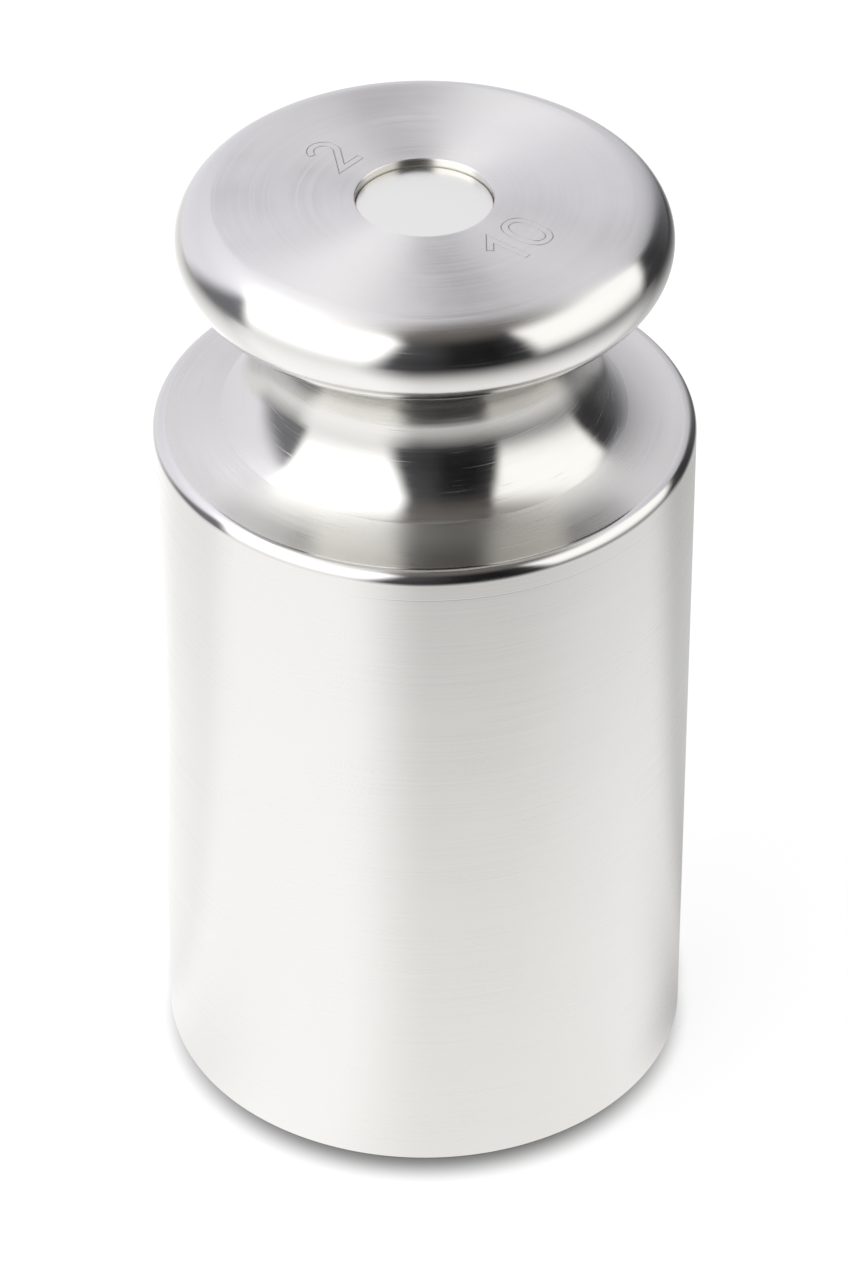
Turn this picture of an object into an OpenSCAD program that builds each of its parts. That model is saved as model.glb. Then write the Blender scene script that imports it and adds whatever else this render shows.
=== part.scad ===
// Cylindrical knob weight, 10 kg, with an adjusting cavity under its knob.
// The body, neck and knob are one turned piece. Its axis is Z and it stands on z = 0.
// All lengths are in millimetres.

/* [Body] */
// Diameter of the cylindrical body
body_d = 100; // [90:1:120]
// Height of the body, from its base to its top face
body_h = 139; // [110:1:170]
// Radius of the polished round on the body's top edge
shoulder_r = 2.4; // [1:0.1:4]
// Bevel that breaks the base edge
base_bevel = 0.4; // [0.2:0.1:1.5]

/* [Neck] */
// Diameter of the neck at its throat
throat_d = 58; // [48:1:66]
// Radius of the hollow curve from the throat out to the body's top face
neck_r = 17.5; // [12:0.5:19]
// Gap between the body's top face and the knob's underside
neck_gap = 30.5; // [27:0.5:38]

/* [Knob] */
// Diameter of the knob
knob_d = 90; // [80:1:104]
// Thickness of the knob, whose rim is a full half-round
knob_t = 16.8; // [13:0.2:20]

/* [Seal] */
// Diameter of the recess in the knob's top that the seal is pressed into
seal_d = 25; // [20:0.5:32]
// Depth of the seal's face below the knob's top
seal_inset = 1.55; // [0.5:0.05:3]
// Thickness of the soft seal disc
seal_t = 2.5; // [1.5:0.1:4]
// Round that pressing leaves on the seal's upper edge
seal_edge_r = 0.5; // [0.2:0.1:1]
// Width of the ring-shaped seat that the seal lies on
seat_w = 1.5; // [1:0.1:3]
// Bevel round the mouth of the recess
mouth_bevel = 0.2; // [0.1:0.05:0.5]
// Radial clearance of the pressed seal in its recess
seal_clearance = 0.02; // [0.01:0.01:0.1]

/* [Closing plug] */
// Length of the threaded plug
plug_h = 10; // [6:0.5:14]
// Depth of the plug's top below the seal's seat
plug_sink = 1; // [0.5:0.1:3]
// Depth of the thread, from its crest to the chamber's wall
thread_depth = 1; // [0.6:0.1:1.6]
// Radial clearance of the plug in its thread
thread_clearance = 0.05; // [0.02:0.01:0.15]
// Width of the driver slot
slot_w = 3; // [2:0.1:4]
// Depth of the driver slot
slot_depth = 3.5; // [2:0.1:5]

/* [Adjusting cavity] */
// Length of the chamber below the plug's thread
chamber_h = 97; // [40:1:110]
// Length of thread left free below the plug
thread_runout = 1; // [0.5:0.5:3]
// Diameter of one ball of adjusting shot
ball_d = 3.8; // [3:0.1:5]
// Clearance between one ball and the next, and below each
ball_clearance = 0.05; // [0.02:0.01:0.2]

/* [Hidden] */
$fn = 180;
body_r = body_d / 2;
throat_r = throat_d / 2;
knob_under_z = body_h + neck_gap;
top_z = knob_under_z + knob_t;

// Centre of the half-round rim in the turning profile
rim_r = knob_t / 2;
rim_x = knob_d / 2 - rim_r;
rim_z = knob_under_z + rim_r;

// The lower neck curve ends on the top face, inside the shoulder round
neck_low_r = min(neck_r, body_r - shoulder_r - throat_r);
throat_z = body_h + neck_low_r;

// The upper neck curve starts upright at the throat and meets the rim's circle without a corner:
// the distance between the two centres is the sum of the two radii, which gives its radius
rim_dx = throat_r - rim_x;
rim_dz = rim_z - throat_z;
neck_up_r = (rim_dx * rim_dx + rim_dz * rim_dz - rim_r * rim_r) / (2 * (rim_r - rim_dx));

// Bores, from the knob's top down
seat_z = top_z - seal_inset - seal_t;
plug_r = seal_d / 2 - seat_w;
plug_top_z = seat_z - plug_sink;
plug_z = plug_top_z - plug_h;
chamber_top_z = plug_z - thread_runout;
chamber_r = plug_r - thread_depth;
floor_z = chamber_top_z - chamber_h;

// One flat layer of shot, in hexagonal rings round a middle ball
ball_r = ball_d / 2;
ball_pitch = ball_d + ball_clearance;
shot_rings = floor((chamber_r - ball_clearance - ball_r) / ball_pitch);
hex_row = sqrt(3) / 2;

// What a cut runs past the face that it opens
through = 1;

// Half section of the cylinder, with its polished shoulder and the broken base edge
module body_section() {
    polygon([
        [0, 0],
        [body_r - base_bevel, 0],
        [body_r, base_bevel],
        [body_r, body_h - shoulder_r],
        [body_r - shoulder_r, body_h - shoulder_r],
        [body_r - shoulder_r, body_h],
        [0, body_h]
    ]);
    translate([body_r - shoulder_r, body_h - shoulder_r])
        circle(r = shoulder_r);
}

// Half section of the neck: two hollow arcs that share the throat
module neck_section() {
    difference() {
        translate([0, body_h])
            square([throat_r + neck_low_r, neck_low_r]);
        translate([throat_r + neck_low_r, throat_z])
            circle(r = neck_low_r);
    }
    difference() {
        polygon([
            [0, throat_z],
            [throat_r + neck_up_r, throat_z],
            [rim_x, rim_z],
            [0, rim_z]
        ]);
        translate([throat_r + neck_up_r, throat_z])
            circle(r = neck_up_r);
    }
}

// Half section of the knob: a flat disc with a half-round rim
module knob_section() {
    translate([0, knob_under_z])
        square([rim_x, knob_t]);
    translate([rim_x, rim_z])
        circle(r = rim_r);
}

// Half section of all that is bored out from the top: recess, thread and chamber
module cavity_section() {
    recess_r = seal_d / 2;
    polygon([
        [0, top_z + through],
        [recess_r + mouth_bevel + through, top_z + through],
        [recess_r, top_z - mouth_bevel],
        [recess_r, seat_z],
        [plug_r, seat_z],
        [plug_r, chamber_top_z],
        [chamber_r, chamber_top_z],
        [chamber_r, floor_z],
        [0, floor_z]
    ]);
}

// The weight itself: cylinder, neck and knob turned from one bar, then bored from the top
module weight_body() {
    color("gainsboro")
        rotate_extrude()
            difference() {
                union() {
                    body_section();
                    neck_section();
                    knob_section();
                }
                cavity_section();
            }
}

// Screw that closes the chamber, with its thread drawn as a plain cylinder
module cavity_plug() {
    color("silver")
        translate([0, 0, plug_z])
            difference() {
                cylinder(h = plug_h, r = plug_r - thread_clearance);
                translate([-plug_r - through, -slot_w / 2, plug_h - slot_depth])
                    cube([2 * (plug_r + through), slot_w, slot_depth + through]);
            }
}

// Loose balls that bring the weight to its nominal mass, one layer on the chamber's floor
module adjusting_shot() {
    color("darkgray")
        for (row = [-shot_rings:shot_rings])
            for (place = [-shot_rings:shot_rings])
                if (abs(row + place) <= shot_rings)
                    translate([
                        (place + row / 2) * ball_pitch,
                        row * hex_row * ball_pitch,
                        floor_z + ball_clearance + ball_r
                    ])
                        sphere(r = ball_r);
}

// Soft aluminium disc pressed into the recess, which seals the adjusted cavity
module seal_disc() {
    disc_r = seal_d / 2 - seal_clearance;
    color("whitesmoke")
        translate([0, 0, seat_z])
            rotate_extrude() {
                square([disc_r, seal_t - seal_edge_r]);
                square([disc_r - seal_edge_r, seal_t]);
                translate([disc_r - seal_edge_r, seal_t - seal_edge_r])
                    circle(r = seal_edge_r);
            }
}

weight_body();
cavity_plug();
adjusting_shot();
seal_disc();
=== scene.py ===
"""Looks of a 10 kg knob weight: turned steel body, pressed seal, closing plug and adjusting shot.

The weight stands on z = 0 with its axis on Z. Lengths are worked out in millimetres and put
into the meshes in metres. Azimuths are in degrees round the weight: 0 is the front, 90 the
right, 180 the back, and 270 or -90 the left.
"""

import math

import bpy
import numpy as np
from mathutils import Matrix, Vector
from mathutils.geometry import delaunay_2d_cdt


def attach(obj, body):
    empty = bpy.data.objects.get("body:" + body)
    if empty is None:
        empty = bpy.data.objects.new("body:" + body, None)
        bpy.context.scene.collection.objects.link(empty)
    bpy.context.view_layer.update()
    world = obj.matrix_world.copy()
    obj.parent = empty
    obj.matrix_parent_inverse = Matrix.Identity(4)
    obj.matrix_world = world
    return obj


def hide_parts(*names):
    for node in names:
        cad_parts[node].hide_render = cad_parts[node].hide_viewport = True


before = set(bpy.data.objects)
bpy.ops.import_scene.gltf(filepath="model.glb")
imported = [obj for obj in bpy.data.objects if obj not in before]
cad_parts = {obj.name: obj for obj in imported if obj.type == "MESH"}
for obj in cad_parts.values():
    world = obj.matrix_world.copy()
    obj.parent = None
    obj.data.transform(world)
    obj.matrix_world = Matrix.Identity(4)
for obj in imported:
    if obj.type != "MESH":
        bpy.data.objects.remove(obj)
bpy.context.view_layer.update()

# ---------------------------------------------------------------------------
# Camera: a long lens, a good metre from the weight. It looks down on the knob from the front
# and aims at the middle of the weight's height.
# ---------------------------------------------------------------------------
MM = 0.001
CAMERA_AIM = Vector((0, 0, 86.585)) * MM
CAMERA_RISE = math.radians(37.454)
CAMERA_DISTANCE = 1130.7 * MM
SENSOR_W, FOCAL_LENGTH = 36, 168.4
FAR_CLIP = 50  # metres, well past the far edge of the table

camera_data = bpy.data.cameras.new("camera")
camera_data.sensor_fit = "AUTO"
camera_data.sensor_width = SENSOR_W
camera_data.lens = FOCAL_LENGTH
camera_data.clip_end = FAR_CLIP
camera = bpy.data.objects.new("camera", camera_data)
backwards = Vector((0, -math.cos(CAMERA_RISE), math.sin(CAMERA_RISE)))
camera.location = CAMERA_AIM + CAMERA_DISTANCE * backwards
camera.rotation_euler = (math.pi / 2 - CAMERA_RISE, 0, 0)
bpy.context.scene.collection.objects.link(camera)
bpy.context.scene.camera = camera
bpy.context.scene.view_settings.view_transform = "Standard"

# ---------------------------------------------------------------------------
# Studio round the table: a large diffuser at each side, a white sweep behind, and a dark room.
# The steel mirrors all of it, and the near black of the room's front is the black in the polish.
# It is a dome that only gives off light: the camera doesn't see it, and it casts no shadow.
# ---------------------------------------------------------------------------
SURROUND_R, SURROUND_Z = 900, 160
GLOW_LEVEL = 1.32  # at this level the faced top of the knob renders about as its colour is written


def srgb(code):
    """Linear RGBA of an sRGB hex colour: each channel is undone by the sRGB power curve."""
    c = np.array([int(code[i : i + 2], 16) for i in (1, 3, 5)]) / 255
    c = np.where(c <= 0.04045, c / 12.92, ((c + 0.055) / 1.055) ** 2.4)
    return (*(float(v) for v in c), 1.0)


def add_node(tree, kind, inputs=None, **settings):
    """Adds a node. Settings go on it, and each input is a value or the socket that feeds it."""
    node = tree.nodes.new(kind)
    for name, value in settings.items():
        setattr(node, name, value)
    for name, value in (inputs or {}).items():
        if isinstance(value, bpy.types.NodeSocket):
            tree.links.new(value, node.inputs[name])
        else:
            node.inputs[name].default_value = value
    return node


def new_material(name):
    """An empty node material, its tree, and the output that is all there is in it."""
    material = bpy.data.materials.new(name)
    material.use_nodes = True
    tree = material.node_tree
    tree.nodes.clear()
    return material, tree, tree.nodes.new("ShaderNodeOutputMaterial")


def mesh_object(name, vertices, faces):
    """A mesh object of vertices in millimetres."""
    mesh = bpy.data.meshes.new(name)
    mesh.from_pydata((np.asarray(vertices) * MM).tolist(), [], [list(f) for f in faces])
    piece = bpy.data.objects.new(name, mesh)
    bpy.context.scene.collection.objects.link(piece)
    return piece


def ease(x, low, high):
    """Smooth step: t runs from 0 at low to 1 at high, and 3 t squared less 2 t cubed eases it."""
    t = np.clip((x - low) / (high - low), 0, 1)
    return t * t * (3 - 2 * t)


def between(x, low, high, soft, soft_high=None):
    """1 from low to high and 0 outside: one ease up times one ease down, soft to both sides."""
    soft_high = soft if soft_high is None else soft_high
    return ease(x, low - soft, low + soft) * (1 - ease(x, high - soft_high, high + soft_high))


def lit(strength, tint):
    """Light of a strength in a tint: the strength times the tint's linear colour."""
    return np.asarray(strength, float)[..., None] * np.array(srgb(tint)[:3])


def mix(under, over, share):
    """Light of under where share is 0 and of over where it is 1, straight in between."""
    return under + (over - under) * share[..., None]


def shell(name, points, light):
    """A mesh over a grid of points, a quad from each point to its next in row and column.
    The attribute glow holds the light that each point gives off."""
    rows, columns = points.shape[:2]
    i = np.arange(rows * columns).reshape(rows, columns)
    quads = np.stack([i[:-1, :-1], i[:-1, 1:], i[1:, 1:], i[1:, :-1]], -1).reshape(-1, 4)
    piece = mesh_object(name, points.reshape(-1, 3), quads)
    glow = np.ones((rows * columns, 4), np.float32)
    glow[:, :3] = light.reshape(-1, 3)
    attribute = piece.data.attributes.new("glow", "FLOAT_COLOR", "POINT")
    attribute.data.foreach_set("color", glow.ravel())
    return piece


# Directions from the weight's neck, every two degrees round it and up. Elevation 90 is overhead.
# The tables below hold degrees first, and then where an edge lies or how strong the light is.
azimuth, elevation = np.meshgrid(np.arange(-180, 181, 2.0), np.arange(-14, 91, 2.0))
turn_right = azimuth % 360

# The room: near black behind the camera, dim at the sides, and brownish overhead
room = np.interp(
    azimuth,
    [-180, -125, -60, -16, 4, 14, 30, 48, 125, 140, 165, 180],
    [0.19, 0.20, 0.19, 0.10, 0.06, 0.020, 0.012, 0.04, 0.045, 0.11, 0.24, 0.19],
)
room = room * (1 - 0.3 * between(azimuth, -16, 18, 10) * (1 - ease(elevation, 8, 30)))
ceiling = lit(np.full_like(azimuth, 0.17), "#FFF6EE")
light = mix(lit(room, "#F8F7FF"), ceiling, ease(elevation, 40, 76))

# White sweep behind: its side edges lean outwards as they rise, and its top falls to the right
edge_left = np.interp(
    elevation, [-15, -10, 0, 10, 20, 30, 40], [232, 240, 247, 254, 260, 264, 272]
)
edge_right = np.interp(
    elevation, [-15, -5, 5, 10, 20, 30, 40], [165, 158, 151, 148, 141, 125, 115]
)
top = np.interp(
    turn_right, [115, 150, 172, 186, 196, 210, 235, 270], [66, 67, 71, 75, 77, 80, 86, 90]
)
strength = np.interp(
    turn_right,
    [115, 140, 165, 185, 205, 235, 270],
    [0.66, 0.60, 0.70, 0.84, 0.87, 0.96, 1.08],
)
strength = strength * (1 + 0.38 * ease(elevation, 20, 62))
sweep = between(turn_right, edge_right, edge_left, 14 - 5 * ease(elevation, 14, 28), 11)
sweep = sweep * (1 - ease(elevation, top - 15, top + 15))
light = mix(light, lit(strength, "#F9F8FF"), sweep)

# Right diffuser: a little warm, and dimmer towards its foot and its top
edge_left = np.interp(
    elevation, [-10, 0, 20, 40, 50, 60, 70], [47.5, 47.5, 46, 46.5, 48.5, 55, 68]
)
edge_right = np.interp(elevation, [-10, 5, 20, 30, 50], [106, 107.5, 114, 121.5, 119])
strength = np.interp(elevation, [-14, -6, 0, 5, 10, 20], [0.40, 0.46, 0.76, 1.02, 1.16, 1.27])
diffuser = between(azimuth, edge_left, edge_right, 4) * (1 - ease(elevation, 43, 71))
light = mix(light, lit(strength, "#FFFEFC"), diffuser)

# Left diffuser: the brighter of the two. It reaches over the weight, with ever softer edges
edge_left = np.interp(
    elevation,
    [-10, 0, 10, 20, 30, 40, 55, 70],
    [-79.5, -80.5, -81.5, -84.5, -90, -100, -122, -140],
)
edge_right = np.interp(
    elevation, [-10, 10, 30, 50, 60, 70, 80], [-21, -19.5, -16.3, -14, -17, -25, -48]
)
strength = np.interp(
    elevation,
    [-14, -8, 0, 8, 20, 50, 60, 70, 80, 90],
    [0.95, 1.0, 1.15, 1.6, 2.0, 2.0, 1.5, 1.18, 0.8, 0.3],
)
soft_left, soft_right = 4 + 20 * ease(elevation, 35, 55), 7 + 15 * ease(elevation, 60, 82)
diffuser = between(azimuth, edge_left, edge_right, soft_left, soft_right)
light = mix(light, lit(strength, "#FFFFFF"), diffuser)

a, e = np.radians(azimuth), np.radians(elevation)
directions = np.stack([np.cos(e) * np.sin(a), -np.cos(e) * np.cos(a), np.sin(e)], -1)
surround = shell("studio_surround", SURROUND_R * directions + [0, 0, SURROUND_Z], light)
surround.visible_camera = False
surround.visible_shadow = False

# Lit cloth and dark room as one surface, which gives off what its glow attribute holds: large
# soft shapes with eased edges, as polished steel shows them
material, tree, output = new_material("lit_surround")
glow = add_node(tree, "ShaderNodeAttribute", attribute_name="glow")
emission = add_node(
    tree, "ShaderNodeEmission", {"Color": glow.outputs["Color"], "Strength": GLOW_LEVEL}
)
tree.links.new(emission.outputs[0], output.inputs["Surface"])
surround.data.materials.append(material)

# ---------------------------------------------------------------------------
# Table: a wide sheet of white paper. The camera sees it as plain white further out. Round the
# weight's foot it keeps a dark contact line, which is mostly painted shade with a little real
# shadow. Steel mirrors painted light from its glow: brightest by the left diffuser, and fading
# towards the front and the right.
# ---------------------------------------------------------------------------
FOOT_R = 50  # where the weight's base meets the paper
# Painted shade: over these radii round the foot, the lift that whitens the paper for the camera
# fades out
PAINTED_SHADE_FROM, PAINTED_SHADE_TO = 44.4, 52.6  # radii over which the contact line fades to white
PAINTED_SHADE_SHIFT = 5
PAPER_LIFT = 0.8

# The grid is fine where the painted shade of the weight falls, and the last rows run out to the
# horizon
reaches = np.concatenate([np.arange(0, 150, 5), np.linspace(150, 1000, 69), [2000, 6000]])
azimuth, reach = np.meshgrid(np.arange(-180, 181, 3.0), reaches)
turn_right = azimuth % 360


def fade(near, far, at, power=4):
    """Light that falls from near to far: the part above far is divided by 1 plus the power of
    reach over at, so it is half gone at that reach in millimetres."""
    return far + (near - far) / (1 + (reach / at) ** power)


# Painted light of the glow: behind, then one sector after another: left of the sweep, under the
# left diffuser, the front and the right, under the right diffuser, and between that one and the
# sweep
light = lit(fade(1.25, 0.76, 260), "#FFFFFE")
light = mix(light, lit(fade(1.07, 0.18, 500, 3), "#FFFFFF"), between(azimuth, -128, -85, 9))
light = mix(light, lit(fade(1.19, 0.93, 420, 3), "#FFFFFF"), between(azimuth, -85, 0, 9))
front = np.interp(reach, [200, 400], [-12, -18])
light = mix(light, lit(fade(1.02, 0.04, 330, 3), "#FFFEFD"), between(azimuth, front, 110, 15, 10))
light = mix(light, lit(fade(1.07, 0.22, 350, 3), "#FFFEFE"), between(azimuth, 55, 110, 30, 10))
light = mix(light, lit(fade(0.66, 0.03, 330, 4), "#FFFFFF"), between(turn_right, 110, 166, 10, 16))

# Painted shade of the weight round its foot, taken out of the glow: faint at its left, and deep
# behind its right side, where it starts further round the further out it lies
away = np.maximum(reach - FOOT_R, 0)
start = np.interp(reach, [53, 66, 92, 140], [69, 84, 91, 97])
deep = 0.56 * np.exp(-away / 35) * between(turn_right, start, 178, 17, 20)
faint = 0.16 * np.exp(-away / 18) * between(turn_right, 225, 305, 15)
light = light * (1 - deep - faint)[..., None]

a = np.radians(azimuth)
places = np.stack([reach * np.sin(a), -reach * np.cos(a), np.zeros_like(a)], -1)
table = shell("table", places, light)
table.data.flip_normals()

# Uncoated paper, matt and even. The camera sees it lit by the studio and lifted to white. The lift
# fades out towards the base's edge, which paints the dark contact line as shade over the little
# real shadow that the studio's light leaves on the paper. A mirror ray gets the painted glow
# instead. The painted line's outer edge is two arcs round centres a little before and behind the
# axis, so it is widest at the front and the back.
material, tree, output = new_material("white_paper")
rays = add_node(tree, "ShaderNodeLightPath")
place = add_node(tree, "ShaderNodeTexCoord")
folded = add_node(
    tree, "ShaderNodeVectorMath", {0: place.outputs["Object"]}, operation="ABSOLUTE"
)
out = add_node(
    tree,
    "ShaderNodeVectorMath",
    {0: folded.outputs[0], 1: (0, PAINTED_SHADE_SHIFT * MM, 0)},
    operation="DISTANCE",
)
clear = add_node(
    tree,
    "ShaderNodeMapRange",
    {
        "Value": out.outputs["Value"],
        "From Min": PAINTED_SHADE_FROM * MM,
        "From Max": PAINTED_SHADE_TO * MM,
        "To Max": PAPER_LIFT,
    },
    interpolation_type="SMOOTHSTEP",
)
seen = add_node(
    tree,
    "ShaderNodeMath",
    {0: rays.outputs["Is Camera Ray"], 1: clear.outputs[0]},
    operation="MULTIPLY",
)
paper = add_node(tree, "ShaderNodeBsdfDiffuse", {"Color": srgb("#868686")})
lift = add_node(tree, "ShaderNodeEmission", {"Strength": seen.outputs[0]})
shown = add_node(tree, "ShaderNodeAddShader", {0: paper.outputs[0], 1: lift.outputs[0]})
glow = add_node(tree, "ShaderNodeAttribute", attribute_name="glow")
mirrored = add_node(
    tree, "ShaderNodeEmission", {"Color": glow.outputs["Color"], "Strength": GLOW_LEVEL}
)
either = add_node(
    tree,
    "ShaderNodeMixShader",
    {0: rays.outputs["Is Glossy Ray"], 1: shown.outputs[0], 2: mirrored.outputs[0]},
)
tree.links.new(either.outputs[0], output.inputs["Surface"])
table.data.materials.append(material)

# ---------------------------------------------------------------------------
# Backdrop beyond the table: plain white to the camera and to what mirrors it, and half as
# bright as light on the weight and the paper.
# ---------------------------------------------------------------------------
FILL_LEVEL = 0.5

world = bpy.data.worlds.new("studio")
bpy.context.scene.world = world
world.use_nodes = True
tree = world.node_tree
tree.nodes.clear()
rays = add_node(tree, "ShaderNodeLightPath")
mirrored = add_node(
    tree,
    "ShaderNodeMath",
    {0: rays.outputs["Is Glossy Ray"], 1: rays.outputs["Is Transmission Ray"]},
    operation="ADD",
)
seen = add_node(
    tree,
    "ShaderNodeMath",
    {0: rays.outputs["Is Camera Ray"], 1: mirrored.outputs[0]},
    operation="ADD",
    use_clamp=True,
)
strength = add_node(
    tree, "ShaderNodeMapRange", {"Value": seen.outputs[0], "To Min": FILL_LEVEL, "To Max": 1.0}
)
background = add_node(
    tree, "ShaderNodeBackground", {"Color": (1, 1, 1, 1), "Strength": strength.outputs[0]}
)
output = tree.nodes.new("ShaderNodeOutputWorld")
tree.links.new(background.outputs[0], output.inputs["Surface"])

# ---------------------------------------------------------------------------
# Weight body: cylinder, neck and knob turned from one bar of stainless steel. Rim, neck and
# shoulder are polished, the flat faces are left as faced, and the side is brushed on the lathe.
# Down its middle run the seal's recess, the plug's thread and the chamber for the shot.
# ---------------------------------------------------------------------------
BODY_R, BODY_H = 50, 139
SHOULDER_R, BASE_BEVEL = 2.4, 0.4
LINE_Z, LINE_W, LINE_DEEP = 133.6, 0.3, 0.015  # one faint turned line under the shoulder
THROAT_R, THROAT_Z = 29, 155.7  # the narrowest place of the neck
TOP_Z, RIM_R, RIM_X = 186.3, 8.4, 36.6
FACED_FROM = 78  # degrees round the rim where its polish ends and the facing of the top starts
RECESS_R, MOUTH_BEVEL, SEAT_Z = 12.5, 0.2, 182.25
THREAD_R, THREAD_END_Z = 11, 170.25
CHAMBER_R, CHAMBER_FLOOR_Z = 10, 73.25
BODY_SEGMENTS = 320

# The neck's lower arc ends flat on the shoulder. The upper one touches the rim's round, so the
# square on the line between their centres is the square of the sum of the two radii.
NECK_LOW_R = THROAT_Z - BODY_H
RIM_Z = TOP_Z - RIM_R
NECK_UP_R = ((RIM_X - THROAT_R) ** 2 + (RIM_Z - THROAT_Z) ** 2 - RIM_R**2) / (
    2 * (RIM_R + RIM_X - THROAT_R)
)
TOUCH = -math.degrees(math.asin((RIM_Z - THROAT_Z) / (RIM_R + NECK_UP_R)))  # round the rim

FACED, POLISHED, BUFFED, SATIN, BRUSHED, REAMED, BORED, ENGRAVED = range(8)
OPEN = -1


def straight(start, end, steps=1):
    """Profile points on a line, from start by equal shares of the way to end, with the normal
    that lies to the right of its direction."""
    start, end = np.array(start, float), np.array(end, float)
    points = start + (end - start) * np.linspace(0, 1, steps + 1)[:, None]
    along = (end - start) / np.linalg.norm(end - start)
    return points, np.tile([along[1], -along[0]], (steps + 1, 1))


def arc(centre, radius, start, end, steps):
    """Profile points on an arc: centre plus radius in the direction of each angle in degrees.
    Run anticlockwise it bulges and its normals point away from the centre, else inwards."""
    angles = np.radians(np.linspace(start, end, steps + 1))
    out = np.stack([np.cos(angles), np.sin(angles)], 1)
    return np.array(centre) + radius * out, out * (1 if end > start else -1)


def lathe(runs, segments):
    """Turns a profile round Z: point (r, z) goes to (r cos t, r sin t, z) for each turn t.

    Each run is (points, normals, finish) and starts where the last one ends. One whose finish
    is OPEN gets no faces, and a profile point on the axis stays one vertex. Gives the vertices,
    each profile point's row of them, its length along the profile, and the faces: how many
    corners each has and its finish, and each corner's vertex, normal and place on the map."""
    profile = np.concatenate([runs[0][0][:1]] + [points[1:] for points, _, _ in runs])
    length = np.append(0, np.cumsum(np.linalg.norm(np.diff(profile, axis=0), axis=1)))
    finish = np.concatenate([np.full(len(points) - 1, kind) for points, _, kind in runs])
    outward = np.concatenate([np.stack([n[:-1], n[1:]], 1) for _, n, _ in runs])

    turns = np.arange(segments + 1) * (2 * np.pi / segments)
    on_axis = profile[:, 0] == 0
    made = ~on_axis[:, None] | (np.arange(segments) == 0)
    rows = np.cumsum(made).reshape(made.shape) - 1
    r, z, t = profile[:, :1], profile[:, 1:], turns[:-1]
    vertices = np.stack(np.broadcast_arrays(r * np.cos(t), r * np.sin(t), z), -1)[made]

    # A face's four corners: at which end of its band along the profile, and on which side
    end, side = np.array([0, 0, 1, 1]), np.array([0, 1, 1, 0])
    band = np.flatnonzero(finish != OPEN)[:, None, None]
    column = np.arange(segments)[:, None] + side
    vertex = rows[band + end, column % segments]
    t = turns[column]
    r, z = outward[band, end, 0], outward[band, end, 1]
    normal = np.stack(np.broadcast_arrays(r * np.cos(t), r * np.sin(t), z), -1)
    along = length[band + end] / length[-1]
    place = np.stack(np.broadcast_arrays(t / (2 * np.pi), along), -1)

    # At the axis two corners are one, so the second of them is left out
    doubled = on_axis[band + end] & (np.arange(4) % 2 == 1)
    kept = ~np.broadcast_to(doubled, vertex.shape)
    faces = {
        "corners": kept.sum(-1).ravel(),
        "finish": np.repeat(finish[finish != OPEN], segments),
        "vertex": vertex[kept],
        "normal": normal[kept],
        "place": place[kept],
    }
    return vertices, rows, length, faces


def turned_piece(name, vertices, faces, materials):
    """A mesh object of a lathe's faces, smooth by their own normals, with the map to bake on."""
    ends = np.cumsum(faces["corners"])
    piece = mesh_object(name, vertices, np.split(faces["vertex"], ends[:-1]))
    mesh = piece.data
    mesh.polygons.foreach_set("material_index", faces["finish"].astype(np.int32))
    mesh.polygons.foreach_set("use_smooth", np.ones(len(mesh.polygons), bool))
    layer = mesh.uv_layers.new(name="OFBake")
    layer.uv.foreach_set("vector", faces["place"].astype(np.float32).ravel())
    mesh.normals_split_custom_set(faces["normal"].tolist())
    for material in materials:
        mesh.materials.append(material)
    mesh.update()
    return piece


outside = [
    # Underside, its bevel, and the side with its faint line
    (*straight((0, 0), (BODY_R - BASE_BEVEL, 0), 6), FACED),
    (*straight((BODY_R - BASE_BEVEL, 0), (BODY_R, BASE_BEVEL)), FACED),
    (*straight((BODY_R, BASE_BEVEL), (BODY_R, LINE_Z - LINE_W / 2), 8), BRUSHED),
    (*straight((BODY_R, LINE_Z - LINE_W / 2), (BODY_R - LINE_DEEP, LINE_Z)), BRUSHED),
    (*straight((BODY_R - LINE_DEEP, LINE_Z), (BODY_R, LINE_Z + LINE_W / 2)), BRUSHED),
    (*straight((BODY_R, LINE_Z + LINE_W / 2), (BODY_R, BODY_H - SHOULDER_R)), BRUSHED),
    # Shoulder, neck and the knob's rim
    (*arc((BODY_R - SHOULDER_R, BODY_H - SHOULDER_R), SHOULDER_R, 0, 90, 16), POLISHED),
    (*straight((BODY_R - SHOULDER_R, BODY_H), (THROAT_R + NECK_LOW_R, BODY_H)), SATIN),
    (*arc((THROAT_R + NECK_LOW_R, THROAT_Z), NECK_LOW_R, -90, -120, 16), SATIN),
    (*arc((THROAT_R + NECK_LOW_R, THROAT_Z), NECK_LOW_R, -120, -180, 32), BUFFED),
    (*arc((THROAT_R + NECK_UP_R, THROAT_Z), NECK_UP_R, 180, 180 + TOUCH, 30), BUFFED),
    (*arc((RIM_X, RIM_Z), RIM_R, TOUCH, FACED_FROM, 60), POLISHED),
    (*arc((RIM_X, RIM_Z), RIM_R, FACED_FROM, 90, 6), FACED),
]
flat_top = (*straight((RIM_X, TOP_Z), (RECESS_R + MOUTH_BEVEL, TOP_Z)), OPEN)
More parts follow.
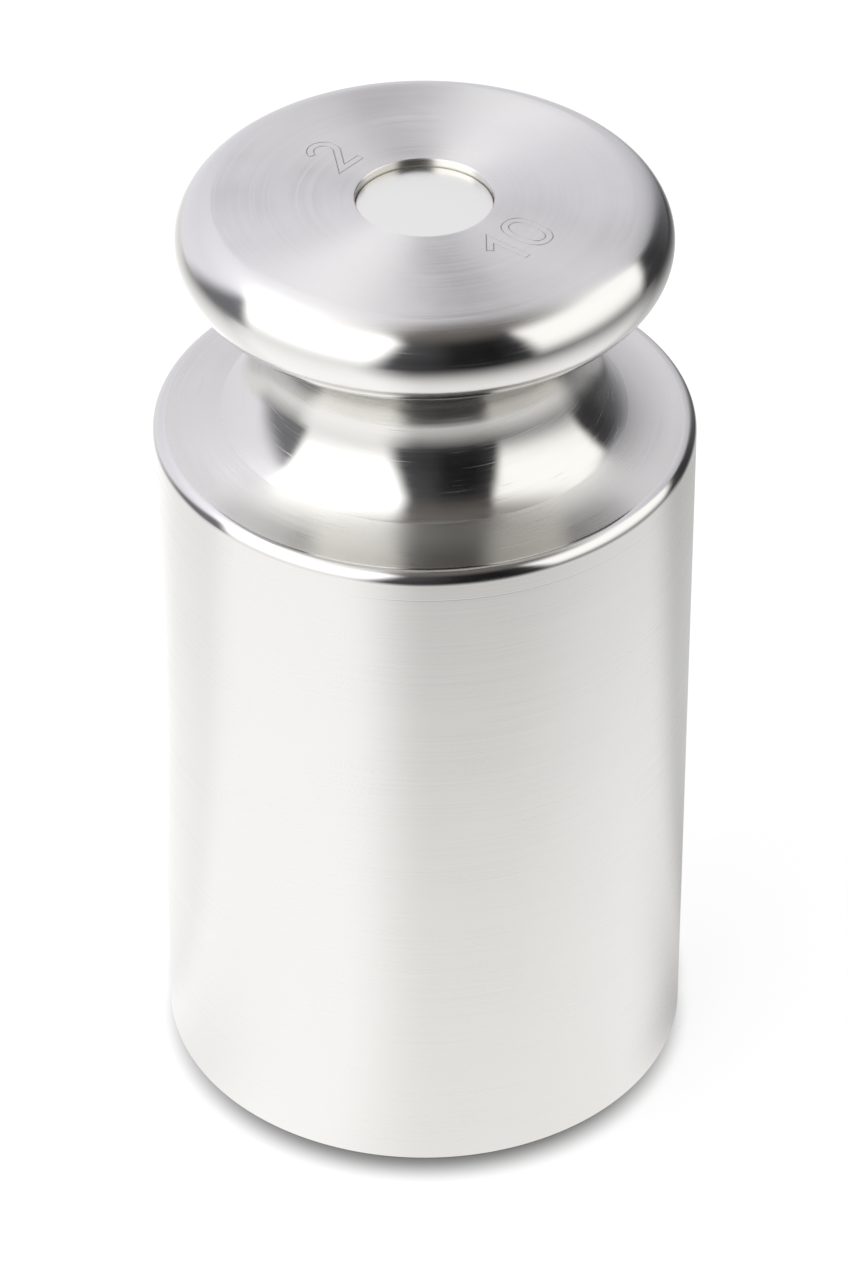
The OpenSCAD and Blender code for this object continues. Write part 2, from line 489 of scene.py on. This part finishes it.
inside = [
    # Recess, seat, thread and chamber
    (*straight((RECESS_R + MOUTH_BEVEL, TOP_Z), (RECESS_R, TOP_Z - MOUTH_BEVEL)), POLISHED),
    (*straight((RECESS_R, TOP_Z - MOUTH_BEVEL), (RECESS_R, SEAT_Z), 3), REAMED),
    (*straight((RECESS_R, SEAT_Z), (THREAD_R, SEAT_Z)), BORED),
    (*straight((THREAD_R, SEAT_Z), (THREAD_R, THREAD_END_Z), 2), BORED),
    (*straight((THREAD_R, THREAD_END_Z), (CHAMBER_R, THREAD_END_Z)), BORED),
    (*straight((CHAMBER_R, THREAD_END_Z), (CHAMBER_R, CHAMBER_FLOOR_Z), 4), BORED),
    (*straight((CHAMBER_R, CHAMBER_FLOOR_Z), (0, CHAMBER_FLOOR_Z), 2), BORED),
]
vertices, rows, length, faces = lathe([*outside, flat_top, *inside], BODY_SEGMENTS)

# The lathe leaves the flat top open, because figures are engraved in it. They stand in outline
# on one diameter, to both sides of the recess. A figure is one or two closed loops in its own
# millimetres, x across it and y up from its middle.
FIGURES_UP = math.radians(140.5)  # which way the figures stand, anticlockwise from the right
FIGURE_H, FIGURE_STROKE = 10.0, 1.3
ZERO_W, BOW_R = 6.4, 2.45
TEN_OUT, TWO_OUT = -21.1, 21.7  # from the axis to the middle of the figures
GROOVE_W, GROOVE_DEEP = 0.22, 0.08
GROOVE_STEP = 0.45  # longest side of a groove's loop, and room between it and the face's grid
FLAT_RINGS = 25
ALL_TRIANGLES, MERGE_WITHIN = 0, 1e-5  # how the flat top's points are joined up


def pen_outline(path, width):
    """Closed outline of a pen stroke: the path pushed half a width to each side. At a corner the
    push is the sum of the two sides' normals over 1 plus their product, which mitres it."""
    path = np.array(path, float)
    along = np.diff(path, axis=0)
    along /= np.linalg.norm(along, axis=1)[:, None]
    side = np.stack([-along[:, 1], along[:, 0]], 1)
    before, after = np.vstack([side[:1], side]), np.vstack([side, side[-1:]])
    mitre = (before + after) / (1 + (before * after).sum(1))[:, None]
    return np.concatenate([path + mitre * width / 2, (path - mitre * width / 2)[::-1]])


def oval(width, height, points=72):
    """Squarish oval: each half axis times the cosine or sine of the turn, to the power 0.8."""
    t = np.arange(points) * (2 * np.pi / points)
    c, s = np.cos(t), np.sin(t)
    x, y = np.sign(c) * np.abs(c) ** 0.8, np.sign(s) * np.abs(s) ** 0.8
    return np.stack([x * width / 2, y * height / 2], 1)


def finely(loop):
    """Closed loop with each side cut into equal parts no longer than the groove's step: part k
    of n starts at the side's own start plus k times the side over n."""
    side = np.roll(loop, -1, 0) - loop
    n = np.ceil(np.linalg.norm(side, axis=1) / GROOVE_STEP).astype(int)
    k = np.arange(n.sum()) - np.repeat(np.cumsum(n) - n, n)
    start, side = np.repeat(loop, n, axis=0), np.repeat(side, n, axis=0)
    return start + side * k[:, None] / np.repeat(n, n)[:, None]


def push(loop, by):
    """Closed loop with each side moved by that much to its left, mitred as a pen stroke is."""
    along = np.roll(loop, -1, 0) - loop
    along /= np.linalg.norm(along, axis=1)[:, None]
    side = np.stack([-along[:, 1], along[:, 0]], 1)
    before = np.roll(side, 1, 0)
    return loop + by * (before + side) / (1 + (before * side).sum(1))[:, None]


half = (FIGURE_H - FIGURE_STROKE) / 2
one = [(-2.9, 1.2), (0, 3.6), (0, -half - FIGURE_STROKE / 2)]
bow = np.radians(np.linspace(165, -38, 22))
two = np.concatenate([
    np.stack([BOW_R * np.cos(bow), half - BOW_R + BOW_R * np.sin(bow)], 1),
    [(-2.3, -half), (2.9, -half)],
])
zero_hole = (ZERO_W - 2 * FIGURE_STROKE, FIGURE_H - 2 * FIGURE_STROKE)
figures = [
    (pen_outline(one, FIGURE_STROKE), (-3.0, TEN_OUT)),
    (oval(ZERO_W, FIGURE_H), (3.0, TEN_OUT)),
    (oval(*zero_hole, 56), (3.0, TEN_OUT)),
    (pen_outline(two, FIGURE_STROKE), (0, TWO_OUT)),
]
up = np.array([math.cos(FIGURES_UP), math.sin(FIGURES_UP)])
across = np.array([up[1], -up[0]])
loops = [(finely(outline) + shift) @ [across, up] for outline, shift in figures]

# The flat top's points: the rim's ring, the mouth's ring, and rings between them that keep
# clear of the grooves. A groove is a V: loops at its two edges, and one deeper down its middle.
turns = np.arange(BODY_SEGMENTS) * (2 * np.pi / BODY_SEGMENTS)
spokes = np.stack([np.cos(turns), np.sin(turns)], 1)
ring_r = np.linspace(RECESS_R + MOUTH_BEVEL, RIM_X, FLAT_RINGS)
grid = (ring_r[1:-1, None, None] * spokes).reshape(-1, 2)
to_groove = np.linalg.norm(grid[:, None] - np.concatenate(loops), axis=2).min(1)
flat = [ring_r[-1] * spokes, ring_r[0] * spokes, grid[to_groove > GROOVE_STEP]]
depth = [np.zeros(len(points)) for points in flat]
count = sum(len(points) for points in flat)
edges = []
for loop in loops:
    i = np.arange(len(loop))
    for by, deep in ((GROOVE_W / 2, 0), (0, GROOVE_DEEP), (-GROOVE_W / 2, 0)):
        flat.append(push(loop, by))
        depth.append(np.full(len(loop), float(deep)))
        edges += (count + np.stack([i, np.roll(i, -1)], 1)).tolist()
        count += len(loop)
flat, depth = np.concatenate(flat), np.concatenate(depth)

# Triangles over those points, without the ones that lie across the recess, all facing up
points = [Vector(point) for point in flat]
filled = delaunay_2d_cdt(points, edges, [], ALL_TRIANGLES, MERGE_WITHIN, True)
assert len(filled[0]) == len(flat), "the engraved loops cross"
came_from = np.array([sources[0] for sources in filled[3]])
triangles = came_from[np.array(filled[2])]
in_mouth = (triangles >= BODY_SEGMENTS) & (triangles < 2 * BODY_SEGMENTS)
triangles = triangles[~in_mouth.all(1)]
a, b, c = (flat[triangles[:, i]] for i in range(3))
area = (b[:, 0] - a[:, 0]) * (c[:, 1] - a[:, 1]) - (b[:, 1] - a[:, 1]) * (c[:, 0] - a[:, 0])
triangles[area < 0] = triangles[area < 0][:, ::-1]

# They join the lathe's own two rings, and each face keeps the plain normal of its plane
at = sum(len(points) - 1 for points, _, _ in outside)
own = len(vertices) + np.arange(len(flat) - 2 * BODY_SEGMENTS)
to_mesh = np.concatenate([rows[at], rows[at + 1], own])
placed = np.concatenate([flat, (TOP_Z - depth)[:, None]], 1)
corner = placed[triangles]
normal = np.cross(corner[:, 1] - corner[:, 0], corner[:, 2] - corner[:, 0])
normal /= np.linalg.norm(normal, axis=1)[:, None]
radius = np.hypot(corner[..., 0], corner[..., 1])
around = np.arctan2(corner[..., 1], corner[..., 0]) / (2 * np.pi) % 1
around += around.max(1, keepdims=True) - around > 0.5
flat_faces = {
    "corners": np.full(len(triangles), 3),
    "finish": np.where(depth[triangles].max(1) > 0, ENGRAVED, FACED),
    "vertex": to_mesh[triangles].ravel(),
    "normal": np.repeat(normal, 3, axis=0),
    "place": np.stack([around, (length[at] + RIM_X - radius) / length[-1]], -1).reshape(-1, 2),
}
vertices = np.concatenate([vertices, placed[2 * BODY_SEGMENTS :]])
faces = {key: np.concatenate([faces[key], flat_faces[key]]) for key in faces}

# Handling leaves soft smudges, and hairline scratches that slant across the turning. Real hairs
# are a few hundredths of a millimetre wide; they are drawn 0.2 mm wide, so that they show.
SMUDGE_SIZE = 14
HAIR_TILT, HAIRS_PER_METRE = (0.3, 0.6, 0.0), (90, 90, 4500)  # about 11 mm long, 0.2 mm wide
HAIR_FROM, HAIR_TO = 0.72, 0.80  # only the crests of the noise are hairs
NOISE_LOW, NOISE_HIGH = 0.3, 0.7  # nearly all of a noise texture's values lie between these
LINE_RUN = 40  # how far round the piece a line of the lathe's finish stays the same
QUARTER_TURN = 0.25  # turns the blur of a turned finish from along its lines to across them


def steel(name, colour, roughness, anisotropy, line_step, line_depth, streak, smudge,
          across_face=False, duller=None, hairs=0.0):
    """Stainless steel that mirrors sharply along the lathe's fine lines and blurs across them.

    The lines are noise that changes every line_step of height, or of radius on a face, and
    only slowly round the piece. They move the roughness by streak and tilt the surface by
    line_depth. Real ones lie under 0.1 mm apart; they are drawn coarser, so that they show.
    Smudge and hairs are roughness that handling adds. Duller, as (z from, z to, more), adds
    roughness that rises with the height."""
    material, tree, output = new_material(name)
    place = add_node(tree, "ShaderNodeTexCoord")
    level = add_node(
        tree,
        "ShaderNodeVectorMath",
        {0: place.outputs["Object"], 1: (1, 1, 0)},
        operation="MULTIPLY",
    )
    radius = add_node(tree, "ShaderNodeVectorMath", {0: level.outputs[0]}, operation="LENGTH")
    height = add_node(tree, "ShaderNodeSeparateXYZ", {"Vector": place.outputs["Object"]})
    line = add_node(
        tree,
        "ShaderNodeMath",
        {
            0: radius.outputs["Value"] if across_face else height.outputs["Z"],
            1: 1 / (line_step * MM),
        },
        operation="MULTIPLY",
    )
    slow = add_node(
        tree,
        "ShaderNodeVectorMath",
        {0: level.outputs[0], "Scale": 1 / (LINE_RUN * MM)},
        operation="SCALE",
    )
    quick = add_node(tree, "ShaderNodeCombineXYZ", {"Z": line.outputs[0]})
    where = add_node(
        tree, "ShaderNodeVectorMath", {0: slow.outputs[0], 1: quick.outputs[0]}, operation="ADD"
    )
    lines = add_node(
        tree,
        "ShaderNodeTexNoise",
        {"Vector": where.outputs[0], "Scale": 1.0, "Detail": 3.0, "Roughness": 0.6},
    )
    rough = add_node(
        tree,
        "ShaderNodeMapRange",
        {
            "Value": lines.outputs["Fac"],
            "From Min": NOISE_LOW,
            "From Max": NOISE_HIGH,
            "To Min": roughness - streak,
            "To Max": roughness + streak,
        },
    )
    patches = add_node(
        tree,
        "ShaderNodeTexNoise",
        {"Vector": place.outputs["Object"], "Scale": 1 / (SMUDGE_SIZE * MM), "Detail": 2.0},
    )
    added = [(patches.outputs["Fac"], NOISE_LOW, NOISE_HIGH, -smudge, smudge, "LINEAR")]
    if duller:
        low, high, more = duller
        added.append((height.outputs["Z"], low * MM, high * MM, 0.0, more, "SMOOTHSTEP"))
    if hairs:
        slant = add_node(
            tree,
            "ShaderNodeMapping",
            {"Vector": place.outputs["Object"], "Rotation": HAIR_TILT, "Scale": HAIRS_PER_METRE},
        )
        hair = add_node(
            tree,
            "ShaderNodeTexNoise",
            {"Vector": slant.outputs[0], "Scale": 1.0, "Detail": 0.0},
        )
        added.append((hair.outputs["Fac"], HAIR_FROM, HAIR_TO, 0.0, hairs, "LINEAR"))
    for value, low, high, least, most, kind in added:
        more = add_node(
            tree,
            "ShaderNodeMapRange",
            {"Value": value, "From Min": low, "From Max": high, "To Min": least, "To Max": most},
            interpolation_type=kind,
        )
        rough = add_node(
            tree, "ShaderNodeMath", {0: rough.outputs[0], 1: more.outputs[0]}, operation="ADD"
        )
    bump = add_node(
        tree,
        "ShaderNodeBump",
        {"Height": lines.outputs["Fac"], "Distance": line_depth * MM, "Strength": 1.0},
    )
    around = add_node(tree, "ShaderNodeTangent", direction_type="RADIAL", axis="Z")
    shader = add_node(
        tree,
        "ShaderNodeBsdfPrincipled",
        {
            "Base Color": srgb(colour),
            "Metallic": 1.0,
            "Roughness": rough.outputs[0],
            "Anisotropic": anisotropy,
            "Anisotropic Rotation": QUARTER_TURN,
            "Tangent": around.outputs[0],
            "Normal": bump.outputs[0],
        },
    )
    tree.links.new(shader.outputs[0], output.inputs["Surface"])
    return material


# Faced flat with a fine feed: satin, with bright and dark fans that meet at the axis
faced = steel("faced_stainless", "#CDCCCA", roughness=0.45, anisotropy=0.85, line_step=0.3,
              line_depth=0.003, streak=0.06, smudge=0.05, across_face=True)
# Rim and shoulder, polished last: near mirror, and duller where the facing tool ran out
polished = steel("polished_stainless", "#CAC9C7", roughness=0.14, anisotropy=0.75, line_step=0.5,
                 line_depth=0.0004, streak=0.02, smudge=0.01, duller=(184, 186.1, 0.2),
                 hairs=0.08)
# Neck, buffed with a cloth in the turn: clear tall reflections, blurred up and down, and the
# most hairs, because hands and lifting forks hold the weight here
buffed = steel("buffed_stainless", "#CAC9C6", roughness=0.15, anisotropy=0.85, line_step=0.4,
               line_depth=0.0008, streak=0.04, smudge=0.02, hairs=0.14)
# Foot of the neck and the flat shoulder, where the cloth hardly reached: satin rings
satin = steel("satin_stainless", "#CCCBC7", roughness=0.31, anisotropy=0.92, line_step=0.3,
              line_depth=0.0006, streak=0.04, smudge=0.02, across_face=True, hairs=0.05)
# Side, brushed in the turn: soft upright bands of light with a fine level grain
brushed = steel("brushed_stainless", "#CAC9C7", roughness=0.25, anisotropy=0.7, line_step=0.25,
                line_depth=0.0002, streak=0.03, smudge=0.01)
# Wall of the seal's recess, reamed and a little smudged: a bright ring with uneven streaks
reamed = steel("reamed_stainless", "#CFCDCA", roughness=0.2, anisotropy=0.5, line_step=0.4,
               line_depth=0.0004, streak=0.08, smudge=0.06)
# Seat, thread and chamber: plain boring, greyer than what is polished, shut in by the seal
bored = steel("bored_stainless", "#B2B2B0", roughness=0.35, anisotropy=0.5, line_step=0.5,
              line_depth=0.0006, streak=0.05, smudge=0.03)
# Flanks of the engraved grooves: matt and darker, so that the outlines read as thin grey lines
engraved = steel("engraved_stainless", "#9F9E9C", roughness=0.5, anisotropy=0.0, line_step=0.2,
                 line_depth=0.0002, streak=0.05, smudge=0.0)

finishes = [faced, polished, buffed, satin, brushed, reamed, bored, engraved]
weight = turned_piece("turned_weight", vertices, faces, finishes)
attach(weight, "root")
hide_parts("weight_body")

# ---------------------------------------------------------------------------
# Seal: a disc of soft aluminium with a rounded upper edge, pressed into the recess over the
# closing plug. It has to be destroyed before the weight can be adjusted again.
# ---------------------------------------------------------------------------
SEAL_R, SEAL_T, SEAL_EDGE = 12.48, 2.5, 0.35
SEAL_SEGMENTS = 192
CLOUD_SIZE = 2.5
SEAL_ROUGH_LOW, SEAL_ROUGH_HIGH = 0.28, 0.33
PRESSED = 0  # the seal's one finish

seal_top = SEAT_Z + SEAL_T
runs = [
    (*straight((0, SEAT_Z), (SEAL_R, SEAT_Z), 2), PRESSED),
    (*straight((SEAL_R, SEAT_Z), (SEAL_R, seal_top - SEAL_EDGE), 2), PRESSED),
    (*arc((SEAL_R - SEAL_EDGE, seal_top - SEAL_EDGE), SEAL_EDGE, 0, 90, 10), PRESSED),
    (*straight((SEAL_R - SEAL_EDGE, seal_top), (0, seal_top), 6), PRESSED),
]
vertices, _, _, faces = lathe(runs, SEAL_SEGMENTS)

# Soft aluminium, pressed in with a flat punch: whiter than the steel, with a cloudy satin. The
# clouds are drawn 2.5 mm across, coarser than the punch's real marks, so that they show.
material, tree, output = new_material("pressed_aluminium")
place = add_node(tree, "ShaderNodeTexCoord")
clouds = add_node(
    tree,
    "ShaderNodeTexNoise",
    {"Vector": place.outputs["Object"], "Scale": 1 / (CLOUD_SIZE * MM), "Detail": 2.0},
)
rough = add_node(
    tree,
    "ShaderNodeMapRange",
    {
        "Value": clouds.outputs["Fac"],
        "From Min": NOISE_LOW,
        "From Max": NOISE_HIGH,
        "To Min": SEAL_ROUGH_LOW,
        "To Max": SEAL_ROUGH_HIGH,
    },
)
shader = add_node(
    tree,
    "ShaderNodeBsdfPrincipled",
    {"Base Color": srgb("#DADAD5"), "Metallic": 1.0, "Roughness": rough.outputs[0]},
)
tree.links.new(shader.outputs[0], output.inputs["Surface"])

seal = turned_piece("pressed_seal", vertices, faces, [material])
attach(seal, "root")
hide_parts("seal_disc")

# ---------------------------------------------------------------------------
# Closing plug: turned from steel bar, slotted across its top, and screwed into the thread under
# the seal, where it holds the shot in. Its shape is the CAD's, with a plain turned finish.
# ---------------------------------------------------------------------------
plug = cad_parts["cavity_plug"]
# Turned and not polished: a soft grey sheen with even rings
turned = steel("turned_stainless", "#BEBEBC", roughness=0.3, anisotropy=0.5, line_step=0.4,
               line_depth=0.0004, streak=0.05, smudge=0.02)
plug.data.materials.clear()
plug.data.materials.append(turned)

# ---------------------------------------------------------------------------
# Adjusting shot: loose steel balls on the chamber's floor. The maker adds or takes out balls
# until the weight is right. Their shapes are the CAD's.
# ---------------------------------------------------------------------------
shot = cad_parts["adjusting_shot"]
# Tumbled until even: a dull grey shine with no direction
tumbled = steel("tumbled_steel", "#B6B6B4", roughness=0.25, anisotropy=0.0, line_step=0.6,
                line_depth=0.0004, streak=0.05, smudge=0.02)
shot.data.materials.clear()
shot.data.materials.append(tumbled)
